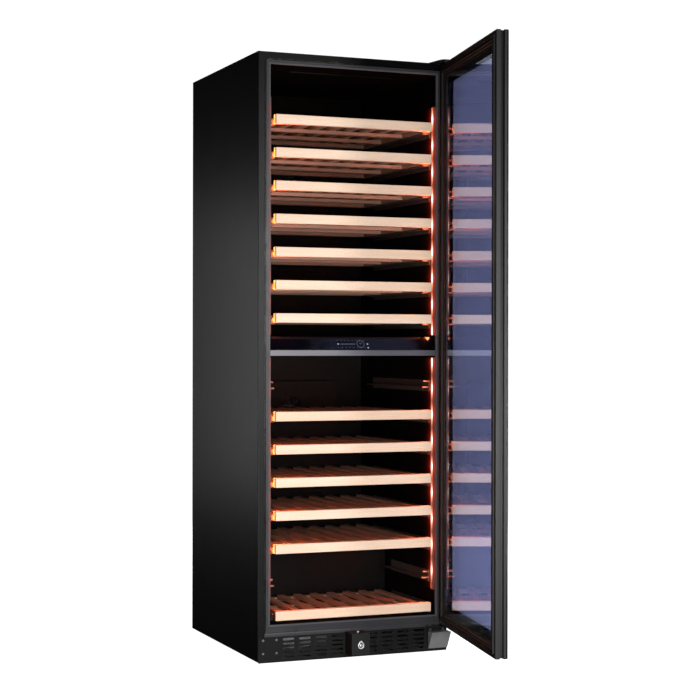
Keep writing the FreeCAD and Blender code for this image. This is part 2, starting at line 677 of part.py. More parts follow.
def fan_rotor(x, y, z, radius, hub, width):
    """A hub with seven pitched blades, turning about the depth axis."""
    body = rod((x, y, z), hub, width, Y_AXIS)
    for i in range(BLADE_COUNT):
        corner = Vector(hub - 2, -BLADE_SHEET / 2, -(width + 4) / 2)
        blade = Part.makeBox(radius - hub + 2, BLADE_SHEET, width + 4, corner)
        blade.rotate(Vector(0, 0, 0), X_AXIS, BLADE_PITCH)
        keep = Part.makeBox(radius, 2 * width, width - 1, Vector(0, -width, -(width - 1) / 2))
        blade = blade.common(keep)
        blade.rotate(Vector(0, 0, 0), X_AXIS, -90)
        blade.rotate(Vector(0, 0, 0), Y_AXIS, 360.0 * i / BLADE_COUNT)
        blade.translate(Vector(x, y + width / 2, z))
        body = body.fuse(blade)
    bore = rod((x, y + width - 8, z), FAN_SHAFT + PIN_CLEARANCE, 9, Y_AXIS)
    return body.cut(bore).removeSplitter()


def fan_motor(x, start, end, z, shaft):
    can = rod((x, start, z), 15, end - start, Y_AXIS)
    return can.fuse(rod((x, start - shaft, z), FAN_SHAFT, shaft + 1, Y_AXIS))


def condenser_centre():
    return (sum(CONDENSER_X) / 2, sum(CONDENSER_Z) / 2)


def fan_motors():
    pieces = []
    for cover in (UPPER_COVER, LOWER_COVER):
        pieces.append(fan_motor(0, LINER_BACK - 20, LINER_BACK, fan_centre(cover), 7))
    x, z = condenser_centre()
    can = fan_motor(x, 190, 215, z, 9)
    stand = block((x - 8, x + 8), (196, 210), (PAN_TOP, z))
    pieces.append(can.fuse(stand).removeSplitter())
    return pieces


def condenser():
    """A block of fins on two end plates."""
    spine = block(CONDENSER_X, (CONDENSER_Y[1] - 6, CONDENSER_Y[1]), CONDENSER_Z)
    fins = []
    pitch = (CONDENSER_X[1] - CONDENSER_X[0] - CONDENSER_FIN) / (CONDENSER_FINS - 1)
    for i in range(CONDENSER_FINS):
        x = CONDENSER_X[0] + pitch * i
        fins.append(block((x, x + CONDENSER_FIN), CONDENSER_Y, CONDENSER_Z))
    foot = block(CONDENSER_X, (CONDENSER_Y[0], CONDENSER_Y[1]), (PAN_TOP, CONDENSER_Z[0] + 2))
    return spine.fuse(fins + [foot]).removeSplitter()


def condenser_fan_shroud():
    x, z = condenser_centre()
    plate_y = (CONDENSER_Y[1], CONDENSER_Y[1] + 3)
    plate = block(CONDENSER_X, plate_y, (PAN_TOP, CONDENSER_Z[1]))
    ring = rod((x, plate_y[0], z), CONDENSER_FAN_RADIUS + 5, 36, Y_AXIS)
    hole = rod((x, plate_y[0] - 1, z), CONDENSER_FAN_RADIUS + 3, 40, Y_AXIS)
    return plate.fuse(ring).cut(hole).removeSplitter()


def compressor():
    """A welded can on a foot plate."""
    r = COMPRESSOR_RADIUS
    low = COMPRESSOR_LOW
    high = COMPRESSOR_HIGH
    foot, dome = CAN_FOOT_RADIUS, CAN_DOME_RADIUS
    floor_centre = Vector(0, 0, low)
    floor_edge = Vector(r - foot, 0, low)
    wall_low = Vector(r, 0, low + foot)
    wall_high = Vector(r, 0, high - dome)
    roof_edge = Vector(r - dome, 0, high)
    roof_centre = Vector(0, 0, high)
    eighth = math.sqrt(0.5)
    foot_middle = Vector(r - foot + foot * eighth, 0, low + foot - foot * eighth)
    dome_middle = Vector(r - dome + dome * eighth, 0, high - dome + dome * eighth)
    foot_arc = Part.Arc(floor_edge, foot_middle, wall_low).toShape()
    dome_arc = Part.Arc(wall_high, dome_middle, roof_edge).toShape()
    edges = [Part.makeLine(floor_centre, floor_edge), foot_arc, Part.makeLine(wall_low, wall_high)]
    edges += [dome_arc, Part.makeLine(roof_edge, roof_centre), Part.makeLine(roof_centre, floor_centre)]
    wire = Part.Wire(edges)
    can = Part.Face(wire).revolve(Vector(0, 0, 0), Z_AXIS, 360)
    plate = block((-85, 85), (-65, 65), (low - COMPRESSOR_PLATE, low))
    for x, y in GROMMET_PLACES:
        plate = plate.cut(rod((x, y, low - COMPRESSOR_PLATE - 1), GROMMET_HOLE, 10))
    terminal = block((r - 6, r + 14), (-16, 16), (95, 135))
    body = can.fuse([plate, terminal])
    body.translate(Vector(COMPRESSOR_X, COMPRESSOR_Y, 0))
    return body.removeSplitter()


def compressor_grommets():
    pieces = []
    low = COMPRESSOR_LOW - COMPRESSOR_PLATE
    for x, y in GROMMET_PLACES:
        base = (COMPRESSOR_X + x, COMPRESSOR_Y + y)
        cushion = rod((*base, PAN_TOP), GROMMET_RADIUS, low - PAN_TOP)
        neck = rod((*base, low), GROMMET_HOLE - 0.1, 8)
        pieces.append(cushion.fuse(neck))
    return pieces


def drip_tray():
    """An open tray resting on the warm compressor, where defrost water dries off."""
    x, y, z = COMPRESSOR_X, COMPRESSOR_Y, COMPRESSOR_HIGH
    outer_x = (x - TRAY_HALF_X, x + TRAY_HALF_X)
    outer = block(outer_x, (y - TRAY_HALF_Y, y + TRAY_HALF_Y), (z, z + TRAY_HEIGHT))
    outer = rounded(outer, Z_AXIS, 12)
    half_x, half_y = TRAY_HALF_X - TRAY_WALL, TRAY_HALF_Y - TRAY_WALL
    inside_z = (z + TRAY_WALL, z + TRAY_HEIGHT + 6)
    inside = block((x - half_x, x + half_x), (y - half_y, y + half_y), inside_z)
    inside = rounded(inside, Z_AXIS, 10)
    return outer.cut(inside)


def refrigerant_pipes():
    x, y = COMPRESSOR_X, COMPRESSOR_Y
    side = x - COMPRESSOR_RADIUS
    hot = [(x, y - COMPRESSOR_RADIUS, 110), (x, 122, 110), (CONDENSER_X[0], 122, 110)]
    cold = [(side, y, 90), (side - 40, y, 90), (side - 40, y, BAY_TOP)]
    liquid = [(CONDENSER_X[0], 134, 50), (CONDENSER_X[0] - 30, 134, 50), (CONDENSER_X[0] - 30, 134, BAY_TOP)]
    routes = [(hot, 16), (cold, 24), (liquid, 24)]
    return [tube_along(points, bend, PIPE_RADIUS) for points, bend in routes]


def power_inlet():
    """A mains inlet socket in the back panel, with three blades."""
    flange_x = (INLET_X[0] - INLET_FLANGE, INLET_X[1] + INLET_FLANGE)
    flange_z = (INLET_Z[0] - INLET_FLANGE, INLET_Z[1] + INLET_FLANGE)
    flange = block(flange_x, (BACK, BACK + 2), flange_z)
    body = block(INLET_X, (BACK - INLET_DEPTH, BACK + 1), INLET_Z)
    recess = block((189, 221), (BACK - 18, BACK + 3), (68, 88))
    blades = [block((x - 1.5, x + 1.5), (BACK - 19, BACK - 3), (z - 3, z + 3)) for x, z in
              ((197, 74), (205, 82), (213, 74))]
    return flange.fuse(body).cut(recess).fuse(blades).removeSplitter()


# ---------------------------------------------------------------- door

def door_ring(edge, width, y):
    """A rectangular ring that follows the door's outline, edge millimetres inside it."""
    outer = block((DOOR_LEFT + edge, DOOR_RIGHT - edge), y, (DOOR_BOTTOM + edge, DOOR_TOP - edge))
    e = edge + width
    inner = block((DOOR_LEFT + e, DOOR_RIGHT - e), (y[0] - 1, y[1] + 1), (DOOR_BOTTOM + e, DOOR_TOP - e))
    return outer.cut(inner)


def door_pane(y, edge):
    return block((DOOR_LEFT + edge, DOOR_RIGHT - edge), y, (DOOR_BOTTOM + edge, DOOR_TOP - edge))


def pin_holes(radius):
    low = rod((PIN_X, PIN_Y, DOOR_BOTTOM - 1), radius, BUSH_LENGTH + 1)
    high = rod((PIN_X, PIN_Y, DOOR_TOP - BUSH_LENGTH), radius, BUSH_LENGTH + 1)
    return [low, high]


def door_frame():
    body = door_ring(0, STILE, (DOOR_OUTSIDE + FACE_GLASS, DOOR_INSIDE))
    corner_edges = [e for e in edges_along(body, Z_AXIS) if e.Length > DOOR_TOP - DOOR_BOTTOM - 1]
    corner_edges = [e for e in corner_edges if e.CenterOfMass.y > PIN_Y]
    body = body.makeFillet(1.5, corner_edges)
    grip_z = (DOOR_BOTTOM - 1, DOOR_TOP + 1)
    grip = block((DOOR_LEFT - 1, DOOR_LEFT + GRIP_DEPTH), (GRIP_FROM, GRIP_TO), grip_z)
    groove = door_ring(GASKET_EDGE, GASKET_WIDTH, (DOOR_INSIDE - GASKET_ROOT, DOOR_INSIDE + 1))
    strike = rod((0, BOLT_Y, DOOR_BOTTOM - 1), BOLT_RADIUS + 1.5, BOLT_TRAVEL + 4)
    return body.cut([grip, groove, strike] + pin_holes(BUSH_RADIUS))


def hinge_bushes():
    bores = pin_holes(PIN_RADIUS + PIN_CLEARANCE)
    low = rod((PIN_X, PIN_Y, DOOR_BOTTOM), BUSH_RADIUS, BUSH_LENGTH)
    high = rod((PIN_X, PIN_Y, DOOR_TOP - BUSH_LENGTH), BUSH_RADIUS, BUSH_LENGTH)
    return [low.cut(bores[0]), high.cut(bores[1])]


def outer_glass():
    pane = door_pane((DOOR_OUTSIDE, DOOR_OUTSIDE + FACE_GLASS), 0.5)
    return pane.makeChamfer(0.6, [e for e in pane.Edges if abs(e.CenterOfMass.y - DOOR_OUTSIDE) < 0.01])


def insulating_glass():
    inner = door_pane((PANE_BACK - PANE, PANE_BACK), STILE)
    middle_back = PANE_BACK - PANE - PANE_SPACING
    middle = door_pane((middle_back - PANE, middle_back), STILE)
    return [inner, middle]


def glass_spacer():
    high = PANE_BACK - PANE
    return door_ring(STILE, 9.0, (high - PANE_SPACING, high))


def door_gasket():
    """A magnetic seal in the frame's groove, with two soft ribs towards the cabinet."""
    root = door_ring(GASKET_EDGE, GASKET_WIDTH, (DOOR_INSIDE - GASKET_ROOT, DOOR_INSIDE + 1.6))
    outer_rib = door_ring(GASKET_EDGE + 1, 4.5, (DOOR_INSIDE + 1, DOOR_INSIDE + GASKET_PROUD))
    inner_rib = door_ring(GASKET_EDGE + 8, 7, (DOOR_INSIDE + 1, DOOR_INSIDE + GASKET_PROUD))
    return root.fuse([outer_rib, inner_rib]).removeSplitter()


def opened(shapes):
    """Turn a door piece about the hinge pin, from closed to the stored open pose."""
    turned = []
    for shape in shapes:
        copy = shape.copy()
        copy.rotate(Vector(PIN_X, PIN_Y, 0), Z_AXIS, DOOR_OPEN)
        turned.append(copy)
    return turned


# ---------------------------------------------------------------- files

def save(name, shapes):
    """Write one sub-part; several separate solids go into one group."""
    pieces = shapes if isinstance(shapes, list) else [shapes]
    solids = [solid for piece in pieces for solid in piece.Solids]
    for solid in solids:
        if not solid.isValid():
            print("not valid:", name)
    shape = solids[0] if len(solids) == 1 else Part.makeCompound(solids)
    shape.exportStep("parts/" + name + ".step")


def cabinet_parts():
    return {
        "outer_shell": outer_shell(),
        "back_panel": back_panel(),
        "insulation_foam": insulation_foam(),
        "inner_liner": inner_liner(),
        "front_frame": front_frame(),
        "shelf_guides": shelf_guides(),
        "zone_divider": zone_divider(),
        "divider_trim": divider_trim(),
        "control_panel": control_panel(),
        "control_board": control_board(),
        "led_channels": led_channels(),
        "led_lenses": led_lenses(),
        "base_pan": base_pan(),
        "kick_plate": kick_plate(),
        "lock_housing": lock_housing(),
        "lock_cylinder": lock_cylinder(),
        "lock_bolt": lock_bolt(),
        "bottom_hinge_bracket": bottom_hinge_bracket(),
        "bottom_hinge_cover": bottom_hinge_cover(),
        "top_hinge_bracket": top_hinge_bracket(),
        "top_hinge_cover": top_hinge_cover(),
        "screws": screws(),
    }


def cooling_parts():
    x, z = condenser_centre()
    rotor_y = LINER_BACK - 33
    return {
        "upper_fan_cover": fan_cover(UPPER_COVER),
        "lower_fan_cover": fan_cover(LOWER_COVER),
        "upper_evaporator": evaporator(UPPER_COVER),
        "lower_evaporator": evaporator(LOWER_COVER),
        "upper_fan_rotor": fan_rotor(0, rotor_y, fan_centre(UPPER_COVER), FAN_RADIUS, FAN_HUB, FAN_WIDTH),
        "lower_fan_rotor": fan_rotor(0, rotor_y, fan_centre(LOWER_COVER), FAN_RADIUS, FAN_HUB, FAN_WIDTH),
        "condenser_fan_rotor": fan_rotor(x, CONDENSER_FAN_Y, z, CONDENSER_FAN_RADIUS, CONDENSER_HUB, 22),
        "fan_motors": fan_motors(),
        "condenser": condenser(),
        "condenser_fan_shroud": condenser_fan_shroud(),
        "compressor": compressor(),
        "compressor_grommets": compressor_grommets(),
        "drip_tray": drip_tray(),
        "refrigerant_pipes": refrigerant_pipes(),
        "power_inlet": power_inlet(),
    }


def door_parts():
    return {
        "door_frame": opened([door_frame()]),
        "outer_glass": opened([outer_glass()]),
        "insulating_glass": opened(insulating_glass()),
        "glass_spacer": opened([glass_spacer()]),
        "door_gasket": opened([door_gasket()]),
        "hinge_bushes": opened(hinge_bushes()),
    }


def main():
    os.makedirs("parts", exist_ok=True)
    parts = {}
    parts.update(cabinet_parts())
    parts.update(cooling_parts())
    parts.update(door_parts())
    for number, top in enumerate(SHELF_TOPS, 1):
        end = BOTTOM_SHELF_END if top == BOTTOM_SHELF_TOP else SHELF_END
        parts["shelf_%02d" % number] = shelf(top, end)
    corners = [(-FOOT_X, -FOOT_Y), (FOOT_X, -FOOT_Y), (FOOT_X, FOOT_Y), (-FOOT_X, FOOT_Y)]
    for number, (x, y) in enumerate(corners, 1):
        parts["levelling_foot_%d" % number] = levelling_foot(x, y)
    for name, shapes in parts.items():
        save(name, shapes)
    print(len(parts), "parts")


main()
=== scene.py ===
"""Looks of the dual-zone wine cooler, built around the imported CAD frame.

Metres, +Z up, the open front faces -Y. The door is modelled closed and turned to its stored angle.
"""
import json
import math

import bmesh
import bpy
from mathutils import Matrix, Vector


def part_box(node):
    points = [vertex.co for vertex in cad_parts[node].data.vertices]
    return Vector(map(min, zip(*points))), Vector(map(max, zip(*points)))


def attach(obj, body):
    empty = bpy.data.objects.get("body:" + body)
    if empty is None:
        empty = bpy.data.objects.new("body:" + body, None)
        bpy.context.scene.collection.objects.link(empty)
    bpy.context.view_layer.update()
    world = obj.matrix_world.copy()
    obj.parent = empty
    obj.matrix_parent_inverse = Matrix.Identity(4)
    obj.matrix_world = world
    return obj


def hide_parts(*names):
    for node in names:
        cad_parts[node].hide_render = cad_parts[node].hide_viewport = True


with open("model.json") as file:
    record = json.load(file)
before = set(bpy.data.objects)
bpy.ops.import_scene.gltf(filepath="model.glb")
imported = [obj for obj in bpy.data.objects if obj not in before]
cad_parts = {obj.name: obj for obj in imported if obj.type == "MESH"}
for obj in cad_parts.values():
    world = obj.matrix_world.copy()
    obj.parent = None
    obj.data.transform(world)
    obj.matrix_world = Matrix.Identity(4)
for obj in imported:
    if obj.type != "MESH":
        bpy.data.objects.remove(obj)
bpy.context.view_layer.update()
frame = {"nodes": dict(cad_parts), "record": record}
NODES = frame["nodes"]
JOINTS = {joint["name"]: joint for joint in frame["record"]["behaviour"]["joints"]}
MM = 0.001

# The cabinet's front plane is the front of the moulded surround
FRAME_LOW, FRAME_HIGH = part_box("front_frame")
FRONT = FRAME_LOW.y
OPENING_HALF = 262 * MM
OPENING_LOW = 112 * MM
OPENING_HIGH = 1725 * MM
BORDER = 13 * MM
BEAD = 5.4 * MM

# The light strips: one span per zone on each wall, nine LEDs in each
LEDS_PER_SPAN = 9
LENS_PROUD = 5.5 * MM
LED_SPANS = ((187 * MM, 880 * MM), (948 * MM, 1630 * MM))
LED_SPOTS = ((243 * MM, 866 * MM), (960 * MM, 1594.8 * MM))
STRIP_Y = (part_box("led_channels")[0].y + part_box("led_channels")[1].y) / 2


# ---------------------------------------------------------------- mesh helpers

def piece(name, bm, materials, body, turn=None, bevel=0.0, segments=2):
    """Turn a bmesh into a piece that rides on a body. bevel rounds its edges by that many metres."""
    mesh = bpy.data.meshes.new(name)
    bmesh.ops.recalc_face_normals(bm, faces=bm.faces)
    bm.to_mesh(mesh)
    bm.free()
    for material in materials:
        mesh.materials.append(material)
    obj = bpy.data.objects.new(name, mesh)
    bpy.context.collection.objects.link(obj)
    if turn is not None:
        obj.matrix_world = turn
    if bevel:
        for polygon in mesh.polygons:
            polygon.use_smooth = True
        modifier = obj.modifiers.new("rounded_edges", "BEVEL")
        modifier.width = bevel
        modifier.segments = segments
        modifier.limit_method = "ANGLE"
        modifier.angle_limit = math.radians(35)
        modifier.harden_normals = True
    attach(obj, body)
    return obj


def add_box(bm, low, high, material=0):
    """A closed box from its two corners."""
    corners = [(x, y, z) for z in (low[2], high[2]) for y in (low[1], high[1]) for x in (low[0], high[0])]
    verts = [bm.verts.new(c) for c in corners]
    for quad in ((0, 1, 3, 2), (4, 6, 7, 5), (0, 4, 5, 1), (2, 3, 7, 6), (0, 2, 6, 4), (1, 5, 7, 3)):
        face = bm.faces.new([verts[i] for i in quad])
        face.material_index = material


def add_prism(bm, outline, offset, material=0):
    """A closed outline of points drawn out by an offset vector."""
    near = [bm.verts.new(p) for p in outline]
    far = [bm.verts.new(Vector(p) + Vector(offset)) for p in outline]
    faces = [bm.faces.new(near), bm.faces.new(far[::-1])]
    for i in range(len(near)):
        j = (i + 1) % len(near)
        faces.append(bm.faces.new((near[i], near[j], far[j], far[i])))
    for face in faces:
        face.material_index = material


def add_ring(bm, low, high, section, material=0):
    """A rectangular frame in the x-z plane with mitred corners.

    Each row of the closed section is (y, inset) or (y, bottom, right, top, left insets).
    """
    loops = []
    for row in section:
        y, insets = row[0], row[1:]
        bottom, right, top, left = insets if len(insets) == 4 else insets * 4
        xs = (low[0] + left, high[0] - right)
        zs = (low[2] + bottom, high[2] - top)
        corners = ((xs[0], zs[0]), (xs[1], zs[0]), (xs[1], zs[1]), (xs[0], zs[1]))
        loops.append([bm.verts.new((x, y, z)) for x, z in corners])
    for i, loop in enumerate(loops):
        following = loops[(i + 1) % len(loops)]
        for a in range(4):
            b = (a + 1) % 4
            face = bm.faces.new((loop[a], loop[b], following[b], following[a]))
            face.material_index = material


def add_lathe(bm, profile, centre, sides=48, material=0):
    """Turn a profile of (radius, y) points about the axis through centre along Y."""
    rings = []
    for radius, y in profile:
        ring = []
        for i in range(sides):
            angle = 2 * math.pi * i / sides
            x, z = centre[0] + radius * math.cos(angle), centre[1] + radius * math.sin(angle)
            ring.append(bm.verts.new((x, y, z)))
        rings.append(ring)
    for a, b in zip(rings, rings[1:]):
        for i in range(sides):
            j = (i + 1) % sides
            bm.faces.new((a[i], a[j], b[j], b[i])).material_index = material
    bm.faces.new(rings[0]).material_index = material
    bm.faces.new(rings[-1][::-1]).material_index = material


# ---------------------------------------------------------------- material helpers

class Tree:
    """A material's nodes, with short calls to add and link them."""

    def __init__(self, name):
        self.material = bpy.data.materials.new(name)
        self.material.use_nodes = True
        self.nodes = self.material.node_tree.nodes
        self.links = self.material.node_tree.links
        self.shader = self.nodes["Principled BSDF"]
        self.coordinates = self.nodes.new("ShaderNodeTexCoord").outputs["Object"]

    def link(self, output, socket):
        self.links.new(output, socket)

    def stretched(self, scale):
        mapping = self.nodes.new("ShaderNodeMapping")
        mapping.inputs["Scale"].default_value = scale
        self.link(self.coordinates, mapping.inputs["Vector"])
        return mapping.outputs["Vector"]

    def noise(self, scale, detail=4.0, roughness=0.5, vector=None, distortion=0.0):
        node = self.nodes.new("ShaderNodeTexNoise")
        node.inputs["Scale"].default_value = scale
        node.inputs["Detail"].default_value = detail
        node.inputs["Roughness"].default_value = roughness
        node.inputs["Distortion"].default_value = distortion
        self.link(vector or self.coordinates, node.inputs["Vector"])
        return node.outputs["Fac"]

    def ramp(self, value, stops):
        """Colours by value, from (position, colour) stops."""
        node = self.nodes.new("ShaderNodeValToRGB")
        elements = node.color_ramp.elements
        while len(elements) < len(stops):
            elements.new(0.5)
        for element, (position, colour) in zip(elements, stops):
            element.position = position
            element.color = (*colour, 1)
        self.link(value, node.inputs["Fac"])
        return node.outputs["Color"]

    def span(self, value, low, high, source=(0.0, 1.0)):
        """Value moved from its source range to low..high."""
        node = self.nodes.new("ShaderNodeMapRange")
        node.inputs["From Min"].default_value = source[0]
        node.inputs["From Max"].default_value = source[1]
        node.inputs["To Min"].default_value = low
        node.inputs["To Max"].default_value = high
        self.link(value, node.inputs["Value"])
        return node.outputs["Result"]

    def math(self, operation, a, b):
        node = self.nodes.new("ShaderNodeMath")
        node.operation = operation
        for socket, value in zip(node.inputs, (a, b)):
            if isinstance(value, (int, float)):
                socket.default_value = value
            else:
                self.link(value, socket)
        return node.outputs["Value"]

    def blend(self, factor, a, b, mode="MIX"):
        node = self.nodes.new("ShaderNodeMix")
        node.data_type = "RGBA"
        node.blend_type = mode
        for name, value in (("Factor", factor), ("A", a), ("B", b)):
            wanted = "VALUE" if name == "Factor" else "RGBA"
            socket = [s for s in node.inputs if s.name == name and s.type == wanted][0]
            if isinstance(value, (int, float)):
                socket.default_value = value
            elif isinstance(value, tuple):
                socket.default_value = (*value, 1)
            else:
                self.link(value, socket)
        return [s for s in node.outputs if s.type == "RGBA"][0]

    def bump(self, height, depth):
        """A bump of that depth in metres."""
        node = self.nodes.new("ShaderNodeBump")
        node.inputs["Strength"].default_value = 1.0
        node.inputs["Distance"].default_value = depth
        self.link(height, node.inputs["Height"])
        self.link(node.outputs["Normal"], self.shader.inputs["Normal"])


def scaled(colour, factor):
    return tuple(min(1.0, c * factor) for c in colour)


def surface(name, colour, roughness, metallic=0.0, specular=0.5, mottle=0.12, patch=9.0, spread=0.07,
            grain=900.0, depth=0.00004, coat=0.0, glow=0.0, shine=None):
    """A plain material with mottled colour, uneven gloss and a fine grain of that depth in metres.

    glow is the strength of a painted light: the strips' red light painted on as emission beside them.
    shine is the material's own light, as (colour, strength).
    """
    tree = Tree(name)
    # Painted light: the strips' red light painted on this surface as emission
    if glow:
        painted_strip_light(tree, glow)
    if shine:
        tree.shader.inputs["Emission Color"].default_value = (*shine[0], 1)
        tree.shader.inputs["Emission Strength"].default_value = shine[1]
    shader = tree.shader
    shader.inputs["Metallic"].default_value = metallic
    shader.inputs["Specular IOR Level"].default_value = specular
    shader.inputs["Coat Weight"].default_value = coat
    shader.inputs["Coat Roughness"].default_value = 0.08
    patches = tree.noise(patch, detail=5.0)
    stops = [(0.3, scaled(colour, 1 - mottle)), (0.7, scaled(colour, 1 + mottle))]
    tree.link(tree.ramp(patches, stops), shader.inputs["Base Color"])
    smudges = tree.noise(patch * 3.1, detail=6.0, roughness=0.6)
    gloss = tree.span(smudges, roughness - spread, roughness + spread, (0.3, 0.7))
    tree.link(gloss, shader.inputs["Roughness"])
    tree.bump(tree.noise(grain, detail=3.0), depth)
    return tree.material


def brushed(name, colour, roughness, along, metallic=1.0, specular=0.5):
    """Metal with fine lines along one axis."""
    tree = Tree(name)
    shader = tree.shader
    shader.inputs["Metallic"].default_value = metallic
    shader.inputs["Specular IOR Level"].default_value = specular
    stretch = [900.0, 900.0, 900.0]
    stretch["xyz".index(along)] = 6.0
    lines = tree.noise(1.0, detail=4.0, vector=tree.stretched(stretch))
    stops = [(0.3, scaled(colour, 0.86)), (0.7, scaled(colour, 1.1))]
    tree.link(tree.ramp(lines, stops), shader.inputs["Base Color"])
    tree.link(tree.span(lines, roughness - 0.06, roughness + 0.08, (0.3, 0.7)), shader.inputs["Roughness"])
    tree.bump(lines, 0.00002)
    return tree.material


def beech(name, along, shade=1.0):
    """Pale steamed beech: soft growth bands, fine streaks and short dark flecks along the grain. A shade
    factor below one darkens every tone: a painted shade.
    """
    tree = Tree(name)
    shader = tree.shader
    across = [1.0, 1.0, 1.0]
    across["xyz".index(along)] = 0.06
    bands = tree.noise(16.0, detail=3.0, distortion=0.6, vector=tree.stretched(across))
    streak_scale = [1.0, 1.0, 1.0]
    streak_scale["xyz".index(along)] = 0.03
    streaks = tree.noise(420.0, detail=4.0, vector=tree.stretched(streak_scale))
    fleck_scale = [1.0, 1.0, 1.0]
    fleck_scale["xyz".index(along)] = 0.16
    flecks = tree.noise(1100.0, detail=2.0, vector=tree.stretched(fleck_scale))
    tones = ((0.32, (0.86, 0.61, 0.44)), (0.5, (0.91, 0.67, 0.50)), (0.68, (0.94, 0.72, 0.55)))
    # The shade factor scales every tone down: a painted shade for the darker copies.
    base = tree.ramp(bands, [(place, scaled(tone, shade)) for place, tone in tones])
    fine = tree.ramp(streaks, [(0.3, (0.92, 0.88, 0.84)), (0.65, (1.0, 1.0, 1.0))])
    marks = tree.ramp(flecks, [(0.3, (0.78, 0.66, 0.56)), (0.4, (1.0, 1.0, 1.0))])
    colour = tree.blend(1.0, tree.blend(1.0, base, fine, "MULTIPLY"), marks, "MULTIPLY")
    tree.link(colour, shader.inputs["Base Color"])
    tree.link(tree.span(streaks, 0.42, 0.58, (0.3, 0.7)), shader.inputs["Roughness"])
    shader.inputs["Specular IOR Level"].default_value = 0.35
    tree.bump(streaks, 0.00006)
    return tree.material


def led_pattern(tree, sharpness):
    """One at each LED of the strips, falling to nothing half way to the next."""
    split = tree.nodes.new("ShaderNodeSeparateXYZ")
    tree.link(tree.coordinates, split.inputs["Vector"])
    height = split.outputs["Z"]
    pattern = None
    for first, last in LED_SPOTS:
        pitch = (last - first) / (LEDS_PER_SPAN - 1)
        count = tree.math("DIVIDE", tree.math("SUBTRACT", height, first - pitch / 2), pitch)
        phase = tree.math("FRACT", count, 0)
        away = tree.math("ABSOLUTE", tree.math("SUBTRACT", phase, 0.5), 0)
        near = tree.math("POWER", tree.math("SUBTRACT", 1.0, tree.math("MULTIPLY", away, 2.0)), sharpness)
        inside = tree.math("MULTIPLY", tree.math("GREATER_THAN", height, first - pitch / 2),
                           tree.math("LESS_THAN", height, last + pitch / 2))
        part = tree.math("MULTIPLY", near, inside)
        pattern = part if pattern is None else tree.math("ADD", pattern, part)
    return split, pattern


def led_lens_material():
    """A warm diffuser that glows all along, with a hot spot in front of each LED of its span."""
    tree = Tree("led_diffuser")
    shader = tree.shader
    shader.inputs["Base Color"].default_value = (0.08, 0.03, 0.02, 1)
    shader.inputs["Roughness"].default_value = 0.5
    shader.inputs["Specular IOR Level"].default_value = 0.1
    glow = led_pattern(tree, 1.5)[1]
    colour = tree.ramp(glow, [(0.0, (1.0, 0.25, 0.14)), (0.4, (1.0, 0.42, 0.26)), (0.8, (1.0, 0.86, 0.76))])
    tree.link(colour, shader.inputs["Emission Color"])
    tree.link(tree.span(glow, 0.28, 2.8), shader.inputs["Emission Strength"])
    return tree.material


def painted_strip_light(tree, strength, reach=0.0095):
    """Painted light: the strips' red light painted as emission on a surface beside them, fading within reach.
    """
    split, spots = led_pattern(tree, 1.6)
    sideways = tree.math("SUBTRACT", tree.math("ABSOLUTE", split.outputs["X"], 0), OPENING_HALF)
    along = tree.math("SUBTRACT", split.outputs["Y"], STRIP_Y)
    distance = tree.math("SQRT", tree.math("ADD", tree.math("MULTIPLY", sideways, sideways),
                                           tree.math("MULTIPLY", along, along)), 0)
    fade = tree.math("EXPONENT", tree.math("DIVIDE", distance, -reach), 0)
    lit = tree.math("MULTIPLY", fade, tree.span(spots, 0.22, 1.0))
    strip = None
    for low, high in LED_SPANS:
        inside = tree.math("MULTIPLY", tree.math("GREATER_THAN", split.outputs["Z"], low),
                           tree.math("LESS_THAN", split.outputs["Z"], high))
        strip = inside if strip is None else tree.math("ADD", strip, inside)
    tree.shader.inputs["Emission Color"].default_value = (1.0, 0.045, 0.02, 1)
    tree.link(tree.math("MULTIPLY", tree.math("MULTIPLY", lit, strip), strength),
              tree.shader.inputs["Emission Strength"])


def glass(name, tint):
    """Tinted glass, with a faint unevenness in its tint."""
    tree = Tree(name)
    shader = tree.shader
    shader.inputs["Transmission Weight"].default_value = 1.0
    shader.inputs["IOR"].default_value = 1.5
    film = tree.noise(3.0, detail=2.0)
    stops = [(0.3, scaled(tint, 0.985)), (0.7, scaled(tint, 1.015))]
    tree.link(tree.ramp(film, stops), shader.inputs["Base Color"])
    shader.inputs["Roughness"].default_value = 0.02
    return tree.material


# ---------------------------------------------------------------- materials

powder_black = surface("powder_coat_black", (0.0025, 0.0025, 0.0026), 0.34, specular=0.15, mottle=0.1,
                       patch=4.0, spread=0.015, grain=700.0, depth=0.000008)
textured_black = surface("textured_coat_black", (0.007, 0.007, 0.0072), 0.55, specular=0.10, grain=520.0,
                         depth=0.00022)
frame_plastic = surface("frame_plastic", (0.002, 0.002, 0.0021), 0.28, specular=0.2, patch=5.0,
                        grain=1500.0)
# The border's glow is painted light: the strips' red light painted on as emission.
border_plastic = surface("border_plastic", (0.034, 0.033, 0.036), 0.32, specular=0.22, patch=5.0,
                         grain=1500.0, glow=0.2)
# The bead's paler colour is a painted highlight along the opening's edge, and its glow is the strips' red
# light painted on.
bead_plastic_painted_highlight = surface("bead_plastic_painted_highlight", (0.075, 0.073, 0.078), 0.32, specular=0.22, patch=5.0,
                       grain=1500.0, glow=0.3)
# The liner's glow is painted light: the strips' red light painted on beside them as emission.
liner_plastic = surface("liner_plastic", (0.0016, 0.0014, 0.0014), 0.45, specular=0.07, patch=4.0,
                        grain=260.0, depth=0.00006, glow=2.2)
guide_plastic = surface("guide_plastic", (0.035, 0.035, 0.035), 0.4, specular=0.3)
